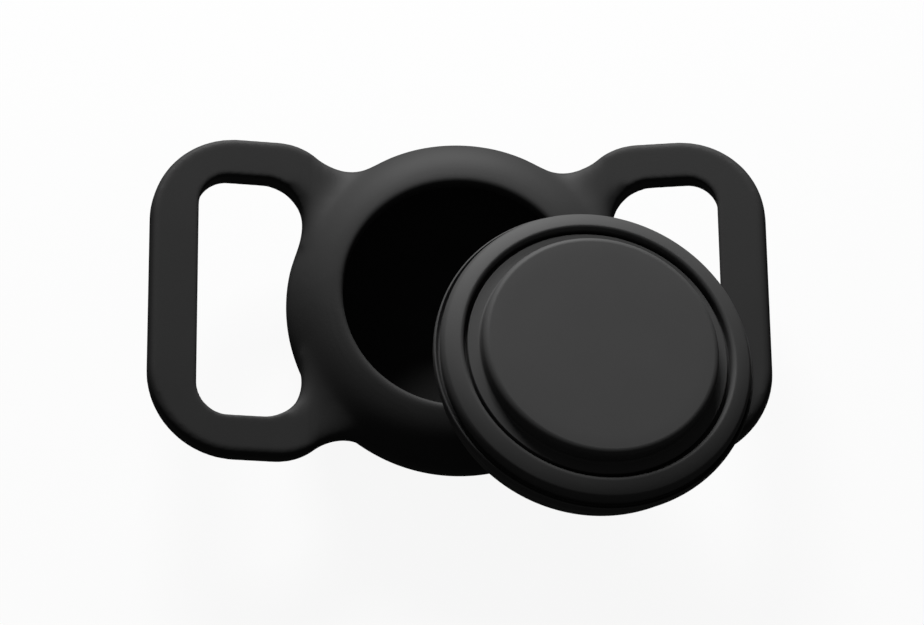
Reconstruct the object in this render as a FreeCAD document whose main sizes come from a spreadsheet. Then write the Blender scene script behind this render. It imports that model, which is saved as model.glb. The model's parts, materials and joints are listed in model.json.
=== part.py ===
import FreeCAD, Part
import math
import os
import Sketcher

# Driving dimensions in millimetres, angles in degrees. Heights of the capsule's pieces count from the lower
# edge of the capsule's rim, heights of the holder's from its flat back.
SIZES = {
    # Tracker tag: a round disc with a steel battery cover on its upper side
    "tag_belt_height": 4.4,
    "tag_wall": 0.9,
    "tag_dome_bow": 85.0,
    "tag_edge_bow": 3.6,
    "tag_edge_rise": 1.1,
    "tag_edge_inset": 2.55,
    "tag_shoulder_bow": 6.0,
    "tag_shoulder_width": 2.85,
    "tag_lip_width": 0.4,
    "cover_thickness": 0.5,
    "cover_round": 0.25,
    "cover_gap": 0.1,
    "gasket_width": 0.7,
    "gasket_thickness": 0.4,
    "ledge_width": 0.9,
    "ledge_thickness": 0.8,
    "tab_width": 3.0,
    "tab_length": 0.8,
    "tab_thickness": 0.35,
    "tab_gap": 0.15,
    "leg_thickness": 0.6,
    "leg_gap": 0.2,
    "cover_turn": 20.0,
    "cell_radius": 10.0,
    "cell_height": 3.2,
    "cell_step": 0.6,
    "cell_drop": 0.5,
    "tray_wall": 0.6,
    "tray_floor": 0.5,
    "tray_gap": 0.15,
    "tray_wall_height": 3.0,
    "board_gap": 0.8,
    "board_thickness": 0.6,
    "board_hole_gap": 0.4,
    "magnet_radius": 4.2,
    "magnet_height": 1.7,
    "magnet_gap": 0.7,
    "coil_gap": 0.3,
    "coil_width": 0.8,
    "coil_height": 1.3,
    "coil_standoff": 0.25,
    "finger_width": 2.0,
    "finger_length": 4.0,
    "finger_thickness": 0.2,
    "finger_place": 6.6,
    # Capsule: two shells around the tag
    "plateau_rise": 1.55,
    "plateau_round": 0.5,
    "cap_wall": 0.9,
    "channel_width": 1.75,
    "channel_lift": 1.0,
    "channel_wall": 1.3,
    "groove_width": 0.45,
    "groove_depth": 0.9,
    "crest_rise": 0.55,
    "crest_width": 0.3,
    "ring_width": 2.0,
    "ring_setback": 0.5,
    "ring_edge": 0.3,
    "ring_shoulder_width": 0.35,
    "ring_shoulder_rise": 0.9,
    "ring_shoulder_bow": 1.4,
    "ring_face_bow": 6.4,
    "spigot_gap": 0.1,
    "spigot_wall": 0.7,
    "spigot_depth": 0.9,
    "rim_width": 1.1,
    "rim_height": 1.1,
    "rim_round": 0.3,
    "base_side_wall": 0.6,
    "base_side_drop": 1.2,
    "base_flat_radius": 9.6,
    "base_bow": 7.4,
    "base_wall": 0.8,
    "seal_width": 0.4,
    "seal_thickness": 0.4,
    "seal_gap": 0.05,
    "tag_gap": 0.1,
    # Holder: a domed body with a mouth, and two strap loops that rise towards their ends
    "pocket_gap": 0.2,
    "pocket_floor": 1.2,
    "pocket_bow": 3.6,
    "body_wall": 1.55,
    "belt_lift": 0.7,
    "belt_round": 2.5,
    "back_inset": 4.1,
    "back_round": 1.5,
    "back_bow": 11.0,
    "front_bow": 7.0,
    "mouth_gap": 0.15,
    "mouth_drop": 0.1,
    "lip_round": 0.5,
    "lip_bead_gap": 0.25,
    "strap_width": 25.0,
    "strap_gap": 1.25,
    "slot_inset": 1.6,
    "slot_length": 11.8,
    "slot_outer_corner": 3.5,
    "slot_inner_corner": 4.5,
    "slot_edge_round": 0.25,
    "loop_drop": 2.5,
    "loop_slope": 10.0,
    "loop_end_bar": 5.2,
    "loop_side_bar": 4.5,
    "loop_thickness": 2.8,
    "loop_edge_round": 0.7,
    "loop_corner": 9.6,
    "loop_shoulder": 7.0,
    "loop_shoulder_offset": 1.4,
    "waist_bow": 5.8,
    # Place of the capsule, taken out and lying on the holder
    "capsule_place_x": 13.41,
    "capsule_place_y": -11.28,
    "capsule_rise": 1.5,
    "capsule_tilt": 10.4,
    "capsule_tilt_bearing": 41.5,
    # One overrun serves all cuts
    "overrun": 2.0,
}

# Direction from the pocket's axis to the point where the waist leaves the round body
WAIST_BODY_SHARES = (0.512, 0.859)
# Direction from the middle of a loop's inner corner to the point where the waist meets it
WAIST_LOOP_SHARES = (-0.617, 0.787)
# Height of the dome's inner edge above its outer edge, in walls
INNER_DOME_SHARE = 0.8
# Thickness of the shell's side, in walls
SIDE_WALL_SHARE = 2.0
HALF_SHARE = 0.5
TAB_COUNT = 3
HALF_TURN = 180.0
FULL_TURN = 360.0
# Distance within which two places count as the same
NEAR = 1e-4

doc = FreeCAD.newDocument("TagHolder")
sheet = doc.addObject("Spreadsheet::Sheet", "Sizes")
for row, (alias, number) in enumerate(SIZES.items(), start=1):
    sheet.set(f"A{row}", alias)
    sheet.set(f"B{row}", str(number))
    sheet.setAlias(f"B{row}", alias)
doc.recompute()


class Length:
    """A length: its number in millimetres, and the sheet expression that gives it."""

    def __init__(self, number, text):
        self.number = number
        self.text = text

    def __add__(self, other):
        return Length(self.number + other.number, f"({self.text} + {other.text})")

    def __sub__(self, other):
        return Length(self.number - other.number, f"({self.text} - {other.text})")

    def __neg__(self):
        return Length(-self.number, f"(0 - {self.text})")

    def __mul__(self, share):
        return Length(self.number * share, f"({self.text} * {share})")


def size(alias):
    return Length(SIZES[alias], f"Sizes.{alias}")


ZERO = Length(0.0, "0")


def new_body(name):
    body = doc.addObject("PartDesign::Body", name)
    body.Label = name
    return body


def new_sketch(body, plane):
    """Sketch on one of the body's own origin planes."""
    sketch = body.newObject("Sketcher::SketchObject", body.Name + "_sketch")
    support = next(item for item in body.Origin.OriginFeatures if item.Role == plane)
    sketch.AttachmentSupport = (support, [""])
    sketch.MapMode = "FlatFace"
    return sketch


def arc_between(start, end, bow):
    """Arc from start to end, to the right of that way where bow is positive and to the left otherwise."""
    chord = end - start
    half = chord.Length * HALF_SHARE
    radius = abs(bow)
    side = FreeCAD.Vector(-chord.y, chord.x, 0).normalize()
    depth = math.sqrt(max(radius * radius - half * half, 0.0))
    centre = (start + end) * HALF_SHARE + side * math.copysign(depth, bow)
    first, last = (start, end) if bow > 0 else (end, start)
    first_angle = math.atan2(first.y - centre.y, first.x - centre.x)
    last_angle = math.atan2(last.y - centre.y, last.x - centre.x)
    circle = Part.Circle(centre, FreeCAD.Vector(0, 0, 1), radius)
    return Part.ArcOfCircle(circle, first_angle, last_angle)


def bind(sketch, constraint, length):
    index = sketch.addConstraint(constraint)
    sketch.setExpression(f"Constraints[{index}]", length.text)


def draw(sketch, outline):
    """Closed outline, anticlockwise, of corners (x, y), or (x, y, bow) where an arc of radius bow leads to
    the next corner. The arc swells out of the outline, or into it where bow is negative."""
    edges = []
    for number, corner in enumerate(outline):
        following = outline[(number + 1) % len(outline)]
        start = FreeCAD.Vector(corner[0].number, corner[1].number, 0)
        end = FreeCAD.Vector(following[0].number, following[1].number, 0)
        bow = corner[2] if len(corner) > 2 else None
        edge = Part.LineSegment(start, end) if bow is None else arc_between(start, end, bow.number)
        turned = bow is not None and bow.number < 0
        edges.append((sketch.addGeometry(edge, False), 2 if turned else 1, 1 if turned else 2))
        if bow is not None:
            radius = -bow if turned else bow
            bind(sketch, Sketcher.Constraint("Radius", edges[-1][0], radius.number), radius)
    for number, corner in enumerate(outline):
        edge, first, last = edges[number]
        before, before_first, before_last = edges[number - 1]
        sketch.addConstraint(Sketcher.Constraint("Coincident", before, before_last, edge, first))
        for length, kind, axis in ((corner[0], "DistanceX", -2), (corner[1], "DistanceY", -1)):
            if length is ZERO:
                sketch.addConstraint(Sketcher.Constraint("PointOnObject", edge, first, axis))
            else:
                bind(sketch, Sketcher.Constraint(kind, -1, 1, edge, first, length.number), length)


def turned_body(name, outline):
    """Body of revolution about Z from an outline of radius and height."""
    body = new_body(name)
    sketch = new_sketch(body, "XZ_Plane")
    draw(sketch, outline)
    turn = body.newObject("PartDesign::Revolution", name + "_turn")
    turn.Profile = sketch
    turn.ReferenceAxis = (sketch, ["V_Axis"])
    turn.Angle = FULL_TURN
    doc.recompute()
    return body


def polar_pattern(body, feature, sketch, axis):
    """Repeats the feature around Z, which is this axis of its sketch."""
    doc.recompute()
    pattern = body.newObject("PartDesign::PolarPattern", feature.Name + "_pattern")
    pattern.Originals = [feature]
    pattern.Axis = (sketch, [axis])
    pattern.Angle = FULL_TURN
    pattern.Occurrences = TAB_COUNT
    body.Tip = pattern
    doc.recompute()


def ring(inner, outer, low, high):
    """Outline of a ring of square section."""
    return [(inner, low), (outer, low), (outer, high), (inner, high)]


def round_edges(body, radius, chosen):
    """Rounds the edges of the body for which chosen(edge) is true."""
    base = body.Tip
    names = [f"Edge{number}" for number, edge in enumerate(base.Shape.Edges, start=1) if chosen(edge)]
    fillet = body.newObject("PartDesign::Fillet", body.Name + "_round")
    fillet.Base = (base, names)
    fillet.setExpression("Radius", radius.text)
    doc.recompute()


def put(piece, place, turn):
    """Turns the piece and puts its origin at the place."""
    piece.Placement = FreeCAD.Placement(FreeCAD.Vector(*(length.number for length in place)), turn)
    for axis, length in zip("xyz", place):
        if length is not ZERO:
            piece.setExpression(f"Placement.Base.{axis}", length.text)


def circle_at(radius, height):
    """Test for the full circle of this radius and height about Z."""
    def chosen(edge):
        curve = edge.Curve
        if not isinstance(curve, Part.Circle):
            return False
        place = FreeCAD.Vector(0, 0, height.number)
        return abs(curve.Radius - radius.number) < NEAR and curve.Center.distanceToPoint(place) < NEAR
    return chosen


# Radii in the tag, from the cell out
tray_inside = size("cell_radius") + size("tray_gap")
tray_outside = tray_inside + size("tray_wall")
leg_inside = tray_outside + size("leg_gap")
leg_outside = leg_inside + size("leg_thickness")
ledge_radius = leg_outside + size("tab_gap")
cover_radius = ledge_radius + size("ledge_width")
cover_seat_radius = cover_radius + size("cover_gap")
lip_outside = cover_seat_radius + size("tag_lip_width")
tag_radius = lip_outside + size("tag_shoulder_width")
tag_edge_radius = tag_radius - size("tag_edge_inset")
finger_start = size("finger_place") - size("finger_length") * HALF_SHARE
finger_end = size("finger_place") + size("finger_length") * HALF_SHARE

# Radii in the capsule: the base from the tag out, the cap from the base's rim in
base_inside_radius = tag_radius + size("tag_gap")
base_side_radius = base_inside_radius + size("base_side_wall")
rim_radius = base_inside_radius + size("rim_width")
spigot_radius = base_inside_radius - size("spigot_gap")
ring_radius = rim_radius - size("ring_setback")
crest_outside = ring_radius - size("ring_width")
channel_radius = crest_outside - size("crest_width")
plateau_radius = channel_radius - size("channel_width")

# Heights in the cap, from the lower edge of the base's rim up
seam_bottom = size("rim_height")
seam_top = seam_bottom + size("seal_thickness")
spigot_end = seam_top - size("spigot_depth")
ring_edge_height = seam_top + size("ring_edge")
channel_height = ring_edge_height + size("channel_lift")
crest_height = channel_height + size("crest_rise")
plateau_height = crest_height + size("plateau_rise")

# Heights in the tag and the base, from the underside of the cap's channel down
channel_underside = channel_height - size("channel_wall")
tag_top = channel_underside - size("tag_gap")
cover_underside = tag_top - size("cover_thickness")
ledge_top = cover_underside - size("gasket_thickness")
ledge_bottom = ledge_top - size("ledge_thickness")
tab_top = ledge_bottom - size("tab_gap")
tab_bottom = tab_top - size("tab_thickness")
cell_top = cover_underside - size("cell_drop")
cell_bottom = cell_top - size("cell_height")
tray_bottom = cell_bottom - size("tray_floor")
board_bottom = tray_bottom - size("board_thickness")
magnet_bottom = tray_bottom - size("magnet_height")
tag_floor = magnet_bottom - size("magnet_gap")
tag_bottom = tag_floor - size("tag_wall")
tag_belt = tag_bottom + size("tag_belt_height")
tag_edge_height = tag_bottom + size("tag_edge_rise")
base_inside = tag_bottom - size("tag_gap")
base_bottom = base_inside - size("base_wall")

# Heights in the holder, from its flat back
seat = size("pocket_floor") + size("pocket_gap") - base_bottom
belt_height = seat + size("belt_lift")
mouth_height = seat + plateau_height - size("mouth_drop")
loop_level = belt_height - size("loop_drop")

# Radii and lengths in the holder, from the pocket's axis
body_radius = rim_radius + size("pocket_gap") + size("body_wall")
back_radius = body_radius - size("back_inset")
mouth_radius = plateau_radius + size("mouth_gap")
lip_radius = mouth_radius + size("lip_round")
slot_half_width = size("strap_width") * HALF_SHARE + size("strap_gap")
slot_inner = body_radius - size("slot_inset")
slot_outer = slot_inner + size("slot_length")
loop_half_width = slot_half_width + size("loop_side_bar")
loop_reach = slot_outer + size("loop_end_bar")


def capsule_cap():
    """Upper shell: raised middle, channel with a groove, shoulder ring and a spigot that enters the base."""
    spigot_inside = spigot_radius - size("spigot_wall")
    plateau_inside = plateau_radius - size("cap_wall")
    plateau_underside = plateau_height - size("cap_wall")
    groove_inside = channel_radius - size("groove_width")
    groove_bottom = channel_height - size("groove_depth")
    outline = [
        (ZERO, plateau_underside),
        (plateau_inside, plateau_underside),
        (plateau_inside, channel_underside),
        (spigot_inside, channel_underside),
        (spigot_inside, spigot_end),
        (spigot_radius, spigot_end),
        (spigot_radius, seam_top),
        (ring_radius, seam_top),
        (ring_radius, ring_edge_height, size("ring_shoulder_bow")),
        (ring_radius - size("ring_shoulder_width"), ring_edge_height + size("ring_shoulder_rise"),
         size("ring_face_bow")),
        (crest_outside, crest_height),
        (channel_radius, crest_height),
        (channel_radius, groove_bottom),
        (groove_inside, groove_bottom),
        (groove_inside, channel_height),
        (plateau_radius, channel_height),
        (plateau_radius, plateau_height - size("plateau_round"), size("plateau_round")),
        (plateau_radius - size("plateau_round"), plateau_height),
        (ZERO, plateau_height),
    ]
    return turned_body("capsule_cap", outline)


def capsule_base():
    """Lower shell: a cup around the tag, with a rim that carries the seal."""
    outline = [
        (ZERO, base_bottom),
        (size("base_flat_radius"), base_bottom, size("base_bow")),
        (base_side_radius, -size("base_side_drop")),
        (rim_radius, ZERO),
        (rim_radius, seam_bottom - size("rim_round"), size("rim_round")),
        (rim_radius - size("rim_round"), seam_bottom),
        (base_inside_radius, seam_bottom),
        (base_inside_radius, tag_belt, -(size("tag_edge_bow") + size("tag_gap"))),
        (tag_edge_radius + size("tag_gap"), tag_edge_height - size("tag_gap"),
         -(size("tag_dome_bow") + size("tag_gap"))),
        (ZERO, base_inside),
    ]
    return turned_body("capsule_base", outline)


def capsule_seal():
    """Flat seal around the spigot, on top of the base's rim and set back from its edge."""
    inner = spigot_radius + size("seal_gap")
    return turned_body("capsule_seal", ring(inner, inner + size("seal_width"), seam_bottom, seam_top))


def tag_shell():
    """Plastic body: domed underside, rounded shoulder, and a ledge with notches for the cover's tabs."""
    side_inside = tag_radius - size("tag_wall") * SIDE_WALL_SHARE
    outline = [
        (ZERO, tag_bottom, size("tag_dome_bow")),
        (tag_edge_radius, tag_edge_height, size("tag_edge_bow")),
        (tag_radius, tag_belt, size("tag_shoulder_bow")),
        (lip_outside, cover_underside),
        (cover_seat_radius, cover_underside),
        (cover_seat_radius, ledge_top),
        (ledge_radius, ledge_top),
        (ledge_radius, ledge_bottom),
        (cover_seat_radius, ledge_bottom),
        (side_inside, ledge_bottom - size("tag_wall")),
        (side_inside, tag_belt),
        (tag_edge_radius, tag_edge_height + size("tag_wall") * SIDE_WALL_SHARE),
        (tag_edge_radius - size("tag_wall"), tag_edge_height + size("tag_wall") * INNER_DOME_SHARE,
         -(size("tag_dome_bow") - size("tag_wall"))),
        (ZERO, tag_floor),
    ]
    body = turned_body("tag_shell", outline)
    sketch = new_sketch(body, "XY_Plane")
    half = size("tab_width") * HALF_SHARE + size("tab_gap")
    notch_end = leg_outside + size("tab_length") + size("tab_gap")
    draw(sketch, [(leg_inside, -half), (notch_end, -half), (notch_end, half), (leg_inside, half)])
    notch = body.newObject("PartDesign::Pocket", "tag_notch")
    notch.Profile = sketch
    notch.Reversed = True
    notch.setExpression("Length", ledge_top.text)
    polar_pattern(body, notch, sketch, "N_Axis")
    return body


def tag_cover():
    """Steel battery cover with three hooked tabs that turn under the shell's ledge."""
    outline = [
        (ZERO, cover_underside),
        (cover_radius, cover_underside),
        (cover_radius, tag_top - size("cover_round"), size("cover_round")),
        (cover_radius - size("cover_round"), tag_top),
        (ZERO, tag_top),
    ]
    body = turned_body("tag_cover", outline)
    sketch = new_sketch(body, "XZ_Plane")
    hook = [
        (leg_inside, tab_bottom),
        (leg_outside + size("tab_length"), tab_bottom),
        (leg_outside + size("tab_length"), tab_top),
        (leg_outside, tab_top),
        (leg_outside, cover_underside),
        (leg_inside, cover_underside),
    ]
    draw(sketch, hook)
    tab = body.newObject("PartDesign::Pad", "cover_tab")
    tab.Profile = sketch
    tab.SideType = "Symmetric"
    tab.setExpression("Length", size("tab_width").text)
    polar_pattern(body, tab, sketch, "V_Axis")
    return body


def cover_gasket():
    """Ring between the cover and the ledge."""
    inner = cover_radius - size("gasket_width")
    return turned_body("cover_gasket", ring(inner, cover_radius, ledge_top, cover_underside))


def coin_cell():
    """Coin cell, stepped in at its lower side."""
    inset = size("cell_radius") - size("cell_step")
    outline = [
        (ZERO, cell_bottom),
        (inset, cell_bottom),
        (inset, cell_bottom + size("cell_step")),
        (size("cell_radius"), cell_bottom + size("cell_step")),
        (size("cell_radius"), cell_top),
        (ZERO, cell_top),
    ]
    return turned_body("coin_cell", outline)


def battery_tray():
    """Tray around the cell, with windows in its floor for the contacts."""
    wall_top = tray_bottom + size("tray_wall_height")
    outline = [
        (ZERO, tray_bottom),
        (tray_outside, tray_bottom),
        (tray_outside, wall_top),
        (tray_inside, wall_top),
        (tray_inside, cell_bottom),
        (ZERO, cell_bottom),
    ]
    body = turned_body("battery_tray", outline)
    sketch = new_sketch(body, "XY_Plane")
    half = size("finger_width") * HALF_SHARE + size("tray_gap")
    start = finger_start - size("tray_gap")
    end = finger_end + size("tray_gap")
    draw(sketch, [(start, -half), (end, -half), (end, half), (start, half)])
    window = body.newObject("PartDesign::Pocket", "tray_window")
    window.Profile = sketch
    window.setExpression("Length", (size("overrun") - tray_bottom).text)
    polar_pattern(body, window, sketch, "N_Axis")
    return body


def battery_contacts():
    """Three bent spring fingers, from the board up to the cell."""
    middle = size("finger_place")
    step = size("finger_thickness")
    outline = [
        (finger_start, tray_bottom),
        (middle, tray_bottom),
        (middle, cell_bottom - step),
        (finger_end, cell_bottom - step),
        (finger_end, cell_bottom),
        (middle - step, cell_bottom),
        (middle - step, tray_bottom + step),
        (finger_start, tray_bottom + step),
    ]
    fingers = []
    for number in range(TAB_COUNT):
        body = new_body(f"battery_contact_{number + 1}")
        sketch = new_sketch(body, "XZ_Plane")
        draw(sketch, outline)
        strip = body.newObject("PartDesign::Pad", body.Name + "_strip")
        strip.Profile = sketch
        strip.SideType = "Symmetric"
        strip.setExpression("Length", size("finger_width").text)
        bearing = FULL_TURN * number / TAB_COUNT
        put(body, (ZERO, ZERO, ZERO), FreeCAD.Rotation(FreeCAD.Vector(0, 0, 1), bearing))
        fingers.append(body)
    group = doc.addObject("Part::Compound", "battery_contacts")
    group.Links = fingers
    doc.recompute()
    return group


def circuit_board():
    """Ring-shaped board under the tray."""
    hole_radius = size("magnet_radius") + size("board_hole_gap")
    outside = tag_edge_radius - size("board_gap")
    return turned_body("circuit_board", ring(hole_radius, outside, board_bottom, tray_bottom))


def speaker_magnet():
    """Magnet under the tray's floor, in the board's hole."""
    outline = [
        (ZERO, magnet_bottom),
        (size("magnet_radius"), magnet_bottom),
        (size("magnet_radius"), tray_bottom),
        (ZERO, tray_bottom),
    ]
    return turned_body("speaker_magnet", outline)


def voice_coil():
    """Coil around the magnet, on the inside of the dome."""
    inner = size("magnet_radius") + size("coil_gap")
    low = tag_floor + size("coil_standoff")
    return turned_body("voice_coil", ring(inner, inner + size("coil_width"), low, low + size("coil_height")))


def domed_body():
    """Outside of the holder's round body, still solid."""
    outline = [
        (ZERO, ZERO),
        (back_radius, ZERO, size("back_bow")),
        (body_radius, belt_height, size("front_bow")),
        (lip_radius, mouth_height),
        (ZERO, mouth_height),
    ]
    body = turned_body("holder_dome", outline)
    round_edges(body, size("belt_round"), circle_at(body_radius, belt_height))
    round_edges(body, size("back_round"), circle_at(back_radius, ZERO))
    return body


def pocket_space():
    """Space for the capsule, with the lip's bead that drops into the cap's channel, and the mouth."""
    gap = size("pocket_gap")
    bead_outside = channel_radius - size("lip_bead_gap")
    bead_bottom = seat + channel_height + size("lip_bead_gap")
    above_crest = seat + crest_height + gap
    outline = [
        (ZERO, size("pocket_floor")),
        (size("base_flat_radius"), size("pocket_floor"), size("base_bow") + gap),
        (base_side_radius + gap, seat - size("base_side_drop")),
        (rim_radius + gap, seat),
        (rim_radius + gap, seat + ring_edge_height, size("pocket_bow")),
        (crest_outside, above_crest),
        (bead_outside, above_crest),
        (bead_outside, bead_bottom),
        (mouth_radius, bead_bottom),
        (mouth_radius, mouth_height - size("lip_round"), -size("lip_round")),
        (lip_radius, mouth_height),
        (lip_radius, mouth_height + size("overrun")),
        (ZERO, mouth_height + size("overrun")),
    ]
    return turned_body("holder_pocket", outline)


def strap_loop(name, bearing):
    """Flat loop with a strap slot. It leaves the body in a hollow waist and rises towards its end."""
    body = new_body(name)
    sketch = new_sketch(body, "XY_Plane")
    corner_place = body_radius + size("loop_shoulder_offset")
    corner_middle = loop_half_width - size("loop_shoulder")
    waist_start = (body_radius * WAIST_BODY_SHARES[0], body_radius * WAIST_BODY_SHARES[1])
    waist_end = (
        corner_place + size("loop_shoulder") * WAIST_LOOP_SHARES[0],
        corner_middle + size("loop_shoulder") * WAIST_LOOP_SHARES[1],
    )
    end_corner = loop_reach - size("loop_corner")
    side_corner = loop_half_width - size("loop_corner")
    draw(sketch, [
        (waist_start[0], -waist_start[1], -size("waist_bow")),
        (waist_end[0], -waist_end[1], size("loop_shoulder")),
        (corner_place, -loop_half_width),
        (end_corner, -loop_half_width, size("loop_corner")),
        (loop_reach, -side_corner),
        (loop_reach, side_corner, size("loop_corner")),
        (end_corner, loop_half_width),
        (corner_place, loop_half_width, size("loop_shoulder")),
        (waist_end[0], waist_end[1], -size("waist_bow")),
        waist_start,
    ])
    outer_corner = size("slot_outer_corner")
    inner_corner = size("slot_inner_corner")
    draw(sketch, [
        (slot_inner + inner_corner, -slot_half_width),
        (slot_outer - outer_corner, -slot_half_width, outer_corner),
        (slot_outer, outer_corner - slot_half_width),
        (slot_outer, slot_half_width - outer_corner, outer_corner),
        (slot_outer - outer_corner, slot_half_width),
        (slot_inner + inner_corner, slot_half_width, inner_corner),
        (slot_inner, slot_half_width - inner_corner),
        (slot_inner, inner_corner - slot_half_width, inner_corner),
    ])
    plate = body.newObject("PartDesign::Pad", name + "_plate")
    plate.Profile = sketch
    plate.SideType = "Symmetric"
    plate.setExpression("Length", size("loop_thickness").text)
    doc.recompute()
    half = (size("loop_thickness") * HALF_SHARE).number

    def on_face(edge):
        return all(abs(abs(vertex.Z) - half) < NEAR for vertex in edge.Vertexes)

    def beyond_waist_start(edge):
        return edge.BoundBox.XMax > waist_start[0].number + NEAR

    def around_slot(edge):
        box = edge.BoundBox
        within_sides = max(-box.YMin, box.YMax) < slot_half_width.number + NEAR
        return within_sides and slot_inner.number - NEAR < box.XMin and box.XMax < slot_outer.number + NEAR

    round_edges(body, size("loop_edge_round"),
                lambda edge: on_face(edge) and beyond_waist_start(edge) and not around_slot(edge))
    round_edges(body, size("slot_edge_round"), lambda edge: on_face(edge) and around_slot(edge))
    rise = FreeCAD.Rotation(FreeCAD.Vector(0, 1, 0), -SIZES["loop_slope"])
    side = FreeCAD.Rotation(FreeCAD.Vector(0, 0, 1), bearing)
    put(body, (ZERO, ZERO, loop_level), side * rise)
    return body


def holder():
    """One moulding: the domed body, the two strap loops, and the pocket."""
    outside = doc.addObject("Part::MultiFuse", "holder_outside")
    outside.Shapes = [domed_body(), strap_loop("right_loop", 0.0), strap_loop("left_loop", HALF_TURN)]
    moulding = doc.addObject("Part::Cut", "holder")
    moulding.Base = outside
    moulding.Tool = pocket_space()
    doc.recompute()
    return moulding


# Place and tilt of the capsule, on the mouth's edge and tipped towards the right-hand loop
capsule_place = (
    size("capsule_place_x"),
    size("capsule_place_y"),
    mouth_height - base_bottom + size("capsule_rise"),
)
tilt_bearing = math.radians(SIZES["capsule_tilt_bearing"])
tilt_hinge = FreeCAD.Vector(-math.sin(tilt_bearing), math.cos(tilt_bearing), 0)
capsule_turn = FreeCAD.Rotation(tilt_hinge, SIZES["capsule_tilt"])
locked_turn = FreeCAD.Rotation(FreeCAD.Vector(0, 0, 1), SIZES["cover_turn"])

pieces = [holder()]
for make in (
    capsule_cap,
    capsule_base,
    capsule_seal,
    tag_shell,
    cover_gasket,
    coin_cell,
    battery_tray,
    battery_contacts,
    circuit_board,
    speaker_magnet,
    voice_coil,
):
    piece = make()
    put(piece, capsule_place, capsule_turn)
    pieces.append(piece)
cover = tag_cover()
put(cover, capsule_place, capsule_turn * locked_turn)
pieces.append(cover)
doc.recompute()

for item in doc.Objects:
    if "Invalid" in item.State or "Error" in item.State:
        raise RuntimeError(f"{item.Name} failed: {item.State}")
for piece in pieces:
    if piece.Shape.isNull() or not piece.Shape.isValid():
        raise RuntimeError(f"{piece.Label} has no valid shape")

os.makedirs("parts", exist_ok=True)
for piece in pieces:
    piece.Shape.exportStep(f"parts/{piece.Label}.step")
    box = piece.Shape.BoundBox
    print(f"{piece.Label}: {len(piece.Shape.Solids)} solids, {piece.Shape.Volume:.1f} mm3, "
          f"{box.XLength:.2f} x {box.YLength:.2f} x {box.ZLength:.2f} mm")
print("capsule axis", tuple(capsule_turn.multVec(FreeCAD.Vector(0, 0, 1))))
print("capsule place", tuple(cover.Placement.Base))
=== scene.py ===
# %% [markdown]
# # A silicone holder for a round tracker tag
# The holder is one soft black moulding: a domed cup with a strap loop on each side. A strap runs up through one
# loop, over the cup and down through the other, and so keeps the contents in. What goes into the cup is a sealed
# capsule of two hard shells, and the tag lies inside the capsule. Here the capsule is out of its cup and lies on
# the cup's edge.
#
# The solids of the part are loaded first. They fix every size and place, so what is modelled below only gives
# them the softness, the rounded edges and the surfaces of the real pieces.

# %% Load the solids
import json
import math

import bmesh
import bpy
from mathutils import Matrix, Vector
from mathutils.bvhtree import BVHTree


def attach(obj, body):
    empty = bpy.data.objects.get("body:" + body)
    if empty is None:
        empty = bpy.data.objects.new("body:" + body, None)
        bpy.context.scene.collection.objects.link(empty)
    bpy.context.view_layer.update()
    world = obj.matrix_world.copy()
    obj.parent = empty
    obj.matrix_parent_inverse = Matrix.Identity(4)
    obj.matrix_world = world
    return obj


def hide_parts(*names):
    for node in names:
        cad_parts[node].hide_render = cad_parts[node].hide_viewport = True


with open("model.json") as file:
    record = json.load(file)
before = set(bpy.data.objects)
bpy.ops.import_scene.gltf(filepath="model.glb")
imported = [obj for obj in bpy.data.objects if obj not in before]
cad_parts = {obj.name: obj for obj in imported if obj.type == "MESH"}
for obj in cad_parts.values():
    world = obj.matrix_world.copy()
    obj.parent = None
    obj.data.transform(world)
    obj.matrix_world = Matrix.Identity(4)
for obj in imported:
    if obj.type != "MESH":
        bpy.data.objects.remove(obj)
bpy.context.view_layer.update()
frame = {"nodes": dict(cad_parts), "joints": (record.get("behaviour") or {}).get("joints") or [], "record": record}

MM = 0.001


print("solids:", ", ".join(sorted(frame["nodes"])))

# %% [markdown]
# ## Millimetres, and the capsule's own frame
# Small goods are drawn in millimetres, and Blender works in metres, so each mesh is drawn in millimetres and
# scaled as it is put in place. The capsule lies tilted. Its pieces are drawn upright about their common axis, with
# height zero at the lower edge of the rim, and one matrix carries them to where the capsule lies. The matrix comes
# from the tag cover's hinge, because that hinge turns about the same axis and sits at the same point.

# %% Frames of the two groups of pieces
cover_hinge = next(joint for joint in frame["joints"] if joint["name"] == "cover_twist")
capsule_axis = Vector(cover_hinge["axis"])
capsule_turn = Vector((0.0, 0.0, 1.0)).rotation_difference(capsule_axis).to_matrix().to_4x4()
HOLDER_FRAME = Matrix.Scale(MM, 4)
CAPSULE_FRAME = Matrix.Translation(cover_hinge["pos_m"]) @ capsule_turn @ Matrix.Scale(MM, 4)
print("capsule's tilt, degrees:", round(math.degrees(capsule_axis.angle((0.0, 0.0, 1.0))), 2))

# %% [markdown]
# ## Drawing outlines
# Most pieces here are turned shapes, and the loops are a flat outline given a thickness. Both start as a closed
# outline. A corner is a point, and where an arc leads to the next corner, a single vertex is spun about the middle
# of that arc. Spinning leaves a row of vertices on the true circle, so no point of the curve has to be worked out.
# The outline runs anticlockwise; a positive bow swells out of it and a negative one cuts into it.

# %% Outline of straight runs and arcs
ARC_STEP = math.radians(1.5)
SAME_PLACE = 1e-4
UPRIGHT = "XZ"
LEVEL = "XY"


def arc_of(start, end, bow):
    """Middle and signed angle of the arc from start to end."""
    chord = end - start
    side = Vector((-chord.y, chord.x)).normalized()
    half = chord.length / 2
    depth = math.sqrt(max(bow * bow - half * half, 0.0))
    middle = (start + end) / 2 + side * math.copysign(depth, bow)
    return middle, math.copysign(2 * math.asin(min(half / abs(bow), 1.0)), bow)


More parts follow.
